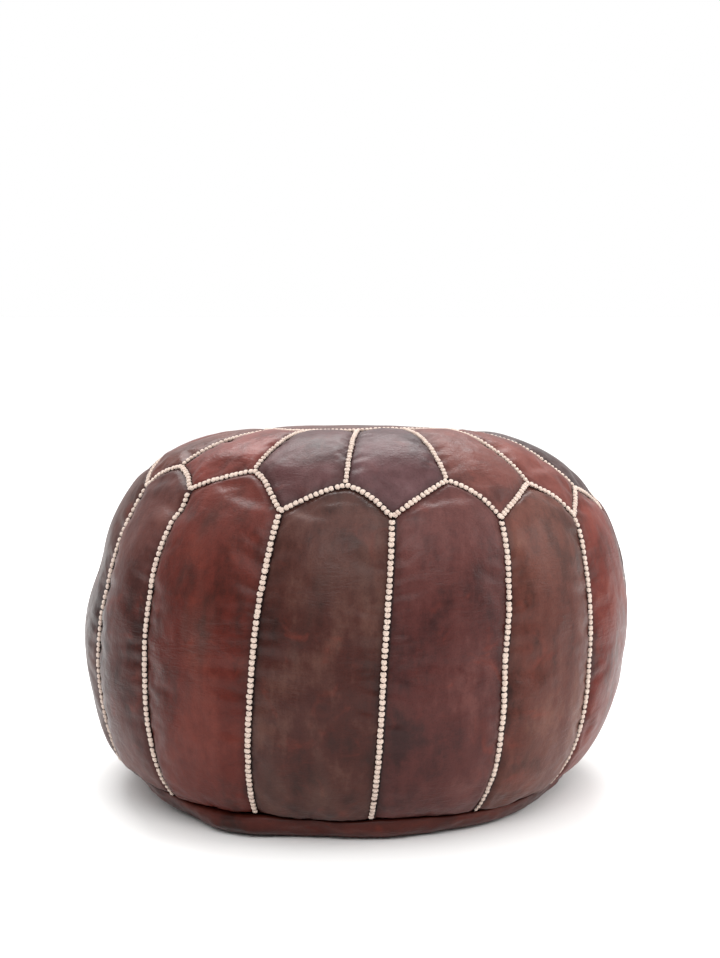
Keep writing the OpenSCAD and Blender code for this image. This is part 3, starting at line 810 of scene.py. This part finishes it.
def braid(name, runs, sizes, seed, spacing=1.0, width=1.0):
    """Knots set side by side along each run, joined in one piece. A run is its points, outward
    directions, whether it is a loop, and how slim its knots get towards its start."""
    template, faces, places = knot_template(sizes)
    template = template * (spacing, width, 1.0)
    full_pitch = sizes.stitch_pitch * spacing
    random = np.random.default_rng(seed)
    all_points, all_faces, all_places = [], [], []
    for points, out, loop, slim in runs:
        if loop:
            points, out = np.vstack([points, points[:1]]), np.vstack([out, out[:1]])
        at = np.concatenate([[0], np.cumsum(np.linalg.norm(np.diff(points, axis=0), axis=1))])
        count = max(2, round(at[-1] / full_pitch))
        pitch = at[-1] / count
        for k in range(count):
            # No two knots are alike: each is a little off in place, size and turn.
            middle = (k + 0.5) * pitch + random.normal(0, 0.06) * pitch
            here, ahead, behind = (
                np.array([np.interp(middle + d, at, points[:, c]) for c in range(3)])
                for d in (0, 0.003, -0.003))
            up = np.array([np.interp(middle, at, out[:, c]) for c in range(3)])
            up /= np.linalg.norm(up)
            forward = ahead - behind
            forward -= up * forward.dot(up)
            forward /= np.linalg.norm(forward)
            side = np.cross(up, forward)
            size = 1 + random.normal(0, 0.05, 3)
            taper = slim * math.exp(-middle / 0.030)
            size *= (1 - 0.15 * taper, 1 - taper, 1 - 0.5 * taper)
            turn = random.normal(0, 0.07)
            forward, side = (forward * math.cos(turn) + side * math.sin(turn),
                             side * math.cos(turn) - forward * math.sin(turn))
            centre = here + up * sizes.stitch_rise * 0.92 + side * (0.0007 + random.normal(0, 0.00018))
            moved = template * size * (pitch / full_pitch, 1, 1)
            first = len(all_points) * len(template)
            all_faces += [tuple(i + first for i in f) for f in faces]
            all_points.append(centre + moved @ np.stack([forward, side, up]))
            all_places.append(places)
    obj = new_object(name, np.concatenate(all_points), all_faces)
    set_uv(obj.data, "knot", np.concatenate(all_places))
    smooth(obj)
    return obj


# ---- Operators -------------------------------------------------------------------------


def settings():
    """The sizes and colours that the user has set."""
    scene = bpy.context.scene
    return scene.pouf_sizes, scene.pouf_colours


class POUF_OT_side_panels(bpy.types.Operator):
    """Build the fourteen side panels, blown up between their seams"""

    bl_idname = "pouf.side_panels"
    bl_label = "Side panels"

    def execute(self, context):
        sizes, _ = settings()
        surface = Surface(sizes)
        patches = [side_patch(surface, k) for k in range(PANELS)]
        inflate(patches)
        for k, patch in enumerate(patches):
            obj = leather_piece(patch, sizes.leather)
            material = goat_leather(f"dyed_goat_leather_side_{k + 1}", SIDE_DYES[k], 3.7 * k)
            finish_piece(obj, material, [patch.name])
        return {"FINISHED"}


class POUF_OT_top_petals(bpy.types.Operator):
    """Build the fourteen petals of the top, blown up between their seams"""

    bl_idname = "pouf.top_petals"
    bl_label = "Top petals"

    def execute(self, context):
        sizes, _ = settings()
        surface = Surface(sizes)
        patches = [petal_patch(surface, k) for k in range(PANELS)]
        inflate(patches)
        for k, patch in enumerate(patches):
            obj = leather_piece(patch, sizes.leather)
            material = goat_leather(f"dyed_goat_leather_petal_{k + 1}", PETAL_DYES[k], 80 + 4.3 * k,
                                    streak=(0.6, 0.6, 0.6))
            finish_piece(obj, material, [patch.name])
        return {"FINISHED"}


class POUF_OT_medallion(bpy.types.Operator):
    """Build the round piece of leather at the crown"""

    bl_idname = "pouf.medallion"
    bl_label = "Medallion"

    def execute(self, context):
        sizes, _ = settings()
        surface = Surface(sizes)
        columns, rows = 112, 26
        q, v = np.meshgrid(np.linspace(0, PANELS, columns + 1), np.linspace(0, 1, rows + 1)[:-1])
        s = surface.medallion_s + (surface.top_s - surface.medallion_s) * v
        dist = s - surface.medallion_s
        lift = relief(sizes, dist, 0.0016) + puckers(q * 0.04, dist, 151)
        points, _ = surface.place(q, s, lift)
        # Rings of points that close on themselves, with a fan to the crown inside the last.
        crown = points[-1, :-1].mean(axis=0)
        rings = points[:, :-1].reshape(-1, 3)
        at = np.arange(len(rings)).reshape(rows, columns)
        after = np.roll(at, -1, axis=1)
        faces = np.stack([at[:-1], after[:-1], after[1:], at[1:]], -1).reshape(-1, 4).tolist()
        faces += [(a, b, len(rings)) for a, b in zip(at[-1], after[-1])]
        obj = new_object("top_medallion_leather", np.vstack([rings, crown]), faces)
        distances = np.append(dist[:, :-1].ravel(), surface.top_s - surface.medallion_s)
        # Darker near its seam, partly dye and partly painted shade, with a painted line of shade just inside
        # it.
        set_attribute(obj.data, "seam_distance", distances)
        set_attribute(obj.data, "edge_distance", distances + 0.0012)
        apply_modifier(obj, "SOLIDIFY", thickness=sizes.leather, offset=-1)
        smooth(obj)
        material = goat_leather("dyed_goat_leather_medallion", MEDALLION_DYE, 150, streak=(0.6, 0.6, 0.6))
        finish_piece(obj, material, ["top_medallion"])
        return {"FINISHED"}


def valley_height(across):
    """Height of the base leather over the zip, at a distance from the valley's middle line."""
    level, half = VALLEY
    share = np.clip((across - level) / (half - level), 0, 1)
    return VALLEY_RISE * (1 + np.cos(math.pi * share)) / 2


def base_rim(surface, q, out):
    """The rolled rim of the base: rings of points from the base seam down to the floor."""
    radius = surface.sizes.seam_radius
    turn = surface.turn(q)
    # The rim swells out under the seam, most of all where the stuffing has slumped.
    swell = (0.013 * np.exp(-((turn + 0.50) / 0.20) ** 2) - 0.004 * np.exp(-((turn + 0.12) / 0.14) ** 2)
             - 0.016 * np.exp(-((turn + 1.25) / 0.38) ** 2) - 0.009 * np.exp(-((turn - 1.30) / 0.45) ** 2)
             + 0.0012 * np.sin(5 * turn + 1) + 0.0010 * np.sin(11 * turn))
    head, _ = surface.place(q, surface.base_s(q), -0.0034)
    foot = out * (radius - RIM_INSET) + out * (swell * 0.8)[:, None]
    foot[:, 0] -= 0.006
    # A Bezier curve in each slice, which leaves the seam outwards and comes in along the floor.
    first = head + out * (0.0100 + 0.75 * np.maximum(swell, -0.008))[:, None] - (0, 0, 0.0012)
    second = foot + out * (0.013 + 0.4 * swell)[:, None]
    t = np.linspace(0, 1, 19)[:, None, None]
    rim = ((1 - t) ** 3 * head + 3 * t * (1 - t) ** 2 * first + 3 * t ** 2 * (1 - t) * second
           + t ** 3 * foot)
    wrinkle = (soft_noise(rim * (1, 1, 2.2), 0.030, 5.5) * 0.0022
               + soft_noise(rim * (1, 1, 1.5), 0.011, 9.5) * 0.0008)
    return rim + out * (wrinkle * np.sin(math.pi * t[..., 0]))[..., None]


def base_floor(surface, out, foot):
    """Rings of points from the foot of the rim inwards, flat on the floor but for the zip's valley."""
    inward = np.linspace(1, 0.015, 48)[1:, None, None]
    ease = np.clip((inward - 0.72) / 0.28, 0, 1)
    true = out * (surface.sizes.seam_radius - RIM_INSET)
    flat = inward * (true + (foot - true) * ease * ease * (3 - 2 * ease))
    x, y = flat[..., 0], flat[..., 1]
    middle = np.hypot(np.clip(np.abs(x) - VALLEY_END, 0, None), y)
    # Shallow wrinkles, away from the valley and from the rim.
    shallow = np.clip((middle - VALLEY[1]) / 0.02, 0, 1) * np.clip((1 - inward[..., 0]) / 0.05, 0, 1)
    flat[..., 2] = valley_height(middle) + np.abs(soft_noise(flat, 0.030, 5.5)) * 0.0006 * shallow
    return flat


def cut_base_half(obj, side):
    """Keeps the front half, at -1, or the back half, at 1, of a base, and cuts the slit for the zip."""
    slit_x, slit_y = SLIT
    mesh = bmesh.new()
    mesh.from_mesh(obj.data)
    cuts = [((0, 0, 0), (0, -side, 0), True), ((0, side * slit_y, 0), (0, 1, 0), False),
            ((slit_x, 0, 0), (1, 0, 0), False), ((-slit_x, 0, 0), (1, 0, 0), False)]
    for point, normal, clear in cuts:
        bmesh.ops.bisect_plane(mesh, geom=mesh.verts[:] + mesh.edges[:] + mesh.faces[:], dist=1e-6,
                               plane_co=point, plane_no=normal, clear_outer=clear)
    middles = [(f, f.calc_center_median()) for f in mesh.faces]
    inside = [f for f, middle in middles if abs(middle.x) < slit_x and abs(middle.y) < slit_y]
    bmesh.ops.delete(mesh, geom=inside, context="FACES")
    bmesh.ops.remove_doubles(mesh, verts=mesh.verts[:], dist=1e-5)
    mesh.to_mesh(obj.data)
    mesh.free()


class POUF_OT_base(bpy.types.Operator):
    """Build the two base leathers, with the valley for the zip and the rolled rim"""

    bl_idname = "pouf.base"
    bl_label = "Base leathers"

    def execute(self, context):
        sizes, _ = settings()
        surface = Surface(sizes)
        columns = 336
        q = np.linspace(0, PANELS, columns + 1)[:-1]
        turn = surface.turn(q)
        out = np.stack([np.sin(turn), -np.cos(turn), 0 * turn], -1)
        rim = base_rim(surface, q, out)
        points = np.concatenate([rim, base_floor(surface, out, rim[-1])])
        points[..., 2] = np.maximum(points[..., 2], 0)
        steps = np.linalg.norm(np.diff(points[:, 0], axis=0), axis=1)
        dist = np.concatenate([[0], np.cumsum(steps)])
        at = np.arange(len(dist) * columns).reshape(-1, columns)
        after = np.roll(at, -1, axis=1)
        faces = np.stack([at[:-1], at[1:], after[1:], after[:-1]], -1).reshape(-1, 4)
        for side, node in ((-1, "base_half_front"), (1, "base_half_back")):
            obj = new_object(node + "_leather", points.reshape(-1, 3), faces)
            # Darker just under the base seam, partly dye and partly painted shade, with a painted line of
            # shade along its top.
            set_attribute(obj.data, "seam_distance", np.repeat(dist + 0.005, columns))
            set_attribute(obj.data, "edge_distance", np.repeat(dist + 0.0032, columns))
            cut_base_half(obj, side)
            apply_modifier(obj, "SOLIDIFY", thickness=sizes.leather, offset=-1)
            smooth(obj)
            material = goat_leather(f"dyed_goat_leather_{node}", BASE_DYE, 170 + 9 * side,
                                    streak=(0.3, 1, 1), painted_sheen=0.0)
            finish_piece(obj, material, [node])
        return {"FINISHED"}


class POUF_OT_braids(bpy.types.Operator):
    """Work the braids of cotton knots over every seam of the upper cover"""

    bl_idname = "pouf.braids"
    bl_label = "Braids"

    def execute(self, context):
        sizes, colours = settings()
        surface = Surface(sizes)
        material = cotton_braid(colours)
        sunk = -sizes.groove
        side, top = [], []
        for k in range(PANELS):
            foot = float(surface.zigzag_s(k))
            s = np.linspace(float(surface.base_s(k)) + 0.0055, foot - 0.002, 90)
            points, out = surface.place(np.full(90, float(k)), s, sunk)
            side.append((points, out, False, SLIM_FEET[k]))
            start = float(surface.zigzag_s(k + 0.5))
            s = np.linspace(start + 0.003, surface.medallion_s - 0.003, 60)
            points, out = surface.place(np.full(60, k + 0.5), s, sunk)
            top.append((points, out, False, 0.0))
        q = np.linspace(0, PANELS, PANELS * 40 + 1)[:-1]
        zigzag = surface.place(q, surface.zigzag_s(q), sunk)
        ring = surface.place(q, np.full(q.shape, surface.medallion_s), sunk)
        for name, runs, seed, spacing, width in (
                ("side_seam_braids", side, 1, 0.985, 0.94),
                ("top_seam_braids", top, 2, 0.80, 0.78),
                ("zigzag_seam_braid", [(*zigzag, True, 0.0)], 3, 0.94, 0.86),
                ("medallion_braid", [(*ring, True, 0.0)], 4, 0.80, 0.74)):
            obj = braid(name + "_knots", runs, sizes, seed, spacing, width)
            finish_piece(obj, material, [name])
        return {"FINISHED"}


class POUF_OT_threads(bpy.types.Operator):
    """Sew the dark lockstitches round the base and give the zip's stitches their finish"""

    bl_idname = "pouf.threads"
    bl_label = "Sewing threads"

    def execute(self, context):
        sizes, colours = settings()
        surface = Surface(sizes)
        material = waxed_thread(colours)
        template, faces = ball_mesh(8, 5, (0, math.pi / 2, 0))
        template = template * (0.0021, 0.0006, 0.0006)      # half length, half width, half height
        q = np.linspace(0, PANELS, 281)[:-1]
        middle, out = surface.place(q, surface.base_s(q), -0.0030)
        middle[:, 2] -= 0.0008
        ahead = np.roll(middle, -1, axis=0) - np.roll(middle, 1, axis=0)
        points, corners = [], []
        for k in range(len(q)):
            forward = ahead[k] / np.linalg.norm(ahead[k])
            side = np.cross(out[k], forward)
            points.append(middle[k] + template @ np.stack([forward, side, out[k]]))
            corners += [tuple(i + k * len(template) for i in f) for f in faces]
        obj = new_object("base_seam_thread_stitches", np.concatenate(points), corners)
        smooth(obj)
        finish_piece(obj, material, ["base_seam_thread"])
        paint("zip_seam_thread", material)
        return {"FINISHED"}


class POUF_OT_stuffing(bpy.types.Operator):
    """Fill the cover with a lumpy mass of shredded rags"""

    bl_idname = "pouf.stuffing"
    bl_label = "Stuffing"

    def execute(self, context):
        sizes, _ = settings()
        surface = Surface(sizes)
        deselect()
        bpy.ops.mesh.primitive_ico_sphere_add(subdivisions=6, radius=1)
        obj = bpy.context.object
        obj.name = obj.data.name = "stuffing_rags"
        co = np.array([v.co for v in obj.data.vertices])
        turn = np.arctan2(co[:, 1], co[:, 0])
        rise = np.arcsin(np.clip(co[:, 2], -1, 1))
        # From the level underside, out to the girth and up to the crown, just inside the cover.
        edge = sizes.seam_radius - RIM_INSET
        run = (rise + math.pi / 2) / math.pi * (edge + surface.top_s)
        q = (turn + math.pi / 2 - sizes.first_seam) / STEP
        bumps = (0.002 * (soft_noise(co * 0.25, 0.030, 2.2) - 1)
                 + 0.001 * (soft_noise(co * 0.25, 0.011, 6.2) - 1))
        points, _ = surface.place(q, np.clip(run - edge, 0, None), bumps - 0.010)
        flat = run < edge
        points[flat] = np.stack([run * np.cos(turn), run * np.sin(turn), 0.024 + bumps], -1)[flat]
        points[:, 2] = np.maximum(points[:, 2], 0.020)
        obj.data.vertices.foreach_set("co", points.astype(np.float32).ravel())
        obj.data.update()
        smooth(obj)
        finish_piece(obj, shredded_rags(), ["stuffing"])
        return {"FINISHED"}


def paint(node, material):
    """Gives a CAD node a new material."""
    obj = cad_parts[node]
    if not obj.material_slots:
        obj.data.materials.append(None)
    for slot in obj.material_slots:
        slot.material = material


class POUF_OT_zip(bpy.types.Operator):
    """Give the zip's tapes, teeth, stops, slider and pull tab their finishes"""

    bl_idname = "pouf.zip"
    bl_label = "Zip"

    def execute(self, context):
        _, colours = settings()
        tape = woven_tape(colours)
        teeth = antique_brass(colours, "pressed_brass_teeth", 0.45)
        pull = antique_brass(colours, "antique_brass_slider", 0.7)
        for node in ("zip_tape_front", "zip_tape_back"):
            paint(node, tape)
        for node in ("zip_teeth_front", "zip_teeth_back", "zip_end_stops"):
            paint(node, teeth)
        for node in ("zip_slider", "zip_pull_tab"):
            paint(node, pull)
        return {"FINISHED"}


# Softboxes and windows: name, place, the point they face, width and height, and watts.
AREA_LIGHTS = (
    ("window_light", (2.1, -0.5, 1.1), (0, 0, 0.2), (1.2, 1.2), 17),
    ("overhead_light", (-0.15, 1.0, 2.1), (0, 0, 0.3), (2.2, 1.2), 60),
    ("front_softbox", (0.15, -2.0, 1.68), (0, 0, 0.25), (2.2, 0.8), 24),
)


def area_light(name, place, aim, size, power):
    """Hangs a softbox that faces a point."""
    deselect()
    turn = (Vector(aim) - Vector(place)).to_track_quat("-Z", "Y").to_euler()
    bpy.ops.object.light_add(type="AREA", location=place, rotation=turn)
    light = bpy.context.object
    light.name = name
    light.data.shape = "RECTANGLE"
    light.data.size, light.data.size_y = size
    light.data.energy = power


def pale_room():
    """A white ceiling, dim walls behind the camera, and white paper behind the pouf."""
    world = bpy.data.worlds.new("pale_room")
    world.use_nodes = True
    tree = world.node_tree
    facing = add(tree, "SeparateXYZ", {}, {0: add(tree, "TexCoord", {}).outputs["Generated"]})
    walls = add(tree, "MapRange", RANGE, (facing.outputs["Y"], -0.3, 0.6, 0.18, 0.85))
    ceiling = add(tree, "MapRange", RANGE, (facing.outputs["Z"], 0.12, 0.62, 0.18, 1.00))
    room = add(tree, "Math", LARGER, (walls, ceiling))
    paper = add(tree, "LightPath", {}).outputs["Is Camera Ray"]
    plug(tree, tree.nodes["Background"], {"Color": (1.0, 1.0, 1.0),
                                          "Strength": add(tree, "Math", LARGER, (room, paper))})
    return world


class POUF_OT_stage(bpy.types.Operator):
    """Lay the floor, hang the lights and set up the camera"""

    bl_idname = "pouf.stage"
    bl_label = "Stage"

    def execute(self, context):
        _, colours = settings()
        scene = context.scene
        deselect()
        bpy.ops.mesh.primitive_plane_add(size=40, location=(0, 0, -0.0004))
        floor = context.object
        floor.name = "floor"
        bpy.ops.object.transform_apply(location=True, rotation=True, scale=True)
        floor.data.materials.append(painted_floor(colours))
        scene.world = pale_room()
        for light in AREA_LIGHTS:
            area_light(*light)
        deselect()
        bpy.ops.object.light_add(type="SUN", location=(0.8, -1.2, 2.5), rotation=(0.22, 0.08, 0))
        sun = context.object
        sun.name = "soft_daylight"
        sun.data.energy = 0.8
        sun.data.angle = math.radians(80)
        deselect()
        bpy.ops.object.camera_add(location=(0.00465, -1.7217, 0.4977),
                                  rotation=(math.pi / 2 - 0.1147, 0, 0))
        camera = context.object
        camera.data.lens = 65.7
        camera.data.sensor_width = 36
        camera.data.clip_end = 100
        scene.camera = camera
        scene.view_settings.view_transform = "Standard"
        return {"FINISHED"}


OPERATORS = (POUF_OT_side_panels, POUF_OT_top_petals, POUF_OT_medallion, POUF_OT_base, POUF_OT_braids,
             POUF_OT_threads, POUF_OT_stuffing, POUF_OT_zip, POUF_OT_stage)


class POUF_PT_build(bpy.types.Panel):
    """The pouf's pieces, in the order in which they are built"""

    bl_idname = "POUF_PT_build"
    bl_label = "Leather pouf"
    bl_space_type = "VIEW_3D"
    bl_region_type = "UI"
    bl_category = "Pouf"

    def draw(self, context):
        for group in (context.scene.pouf_sizes, context.scene.pouf_colours):
            box = self.layout.box()
            for name in group.__annotations__:
                box.prop(group, name)
        for operator in OPERATORS:
            self.layout.operator(operator.bl_idname)


CLASSES = (PoufSizes, PoufColours, *OPERATORS, POUF_PT_build)


def register():
    for cls in CLASSES:
        bpy.utils.register_class(cls)
    bpy.types.Scene.pouf_sizes = bpy.props.PointerProperty(type=PoufSizes)
    bpy.types.Scene.pouf_colours = bpy.props.PointerProperty(type=PoufColours)


def unregister():
    del bpy.types.Scene.pouf_colours
    del bpy.types.Scene.pouf_sizes
    for cls in reversed(CLASSES):
        bpy.utils.unregister_class(cls)


def main():
    register()
    for operator in OPERATORS:
        group, name = operator.bl_idname.split(".")
        getattr(getattr(bpy.ops, group), name)()


if __name__ == "__main__":
    main()
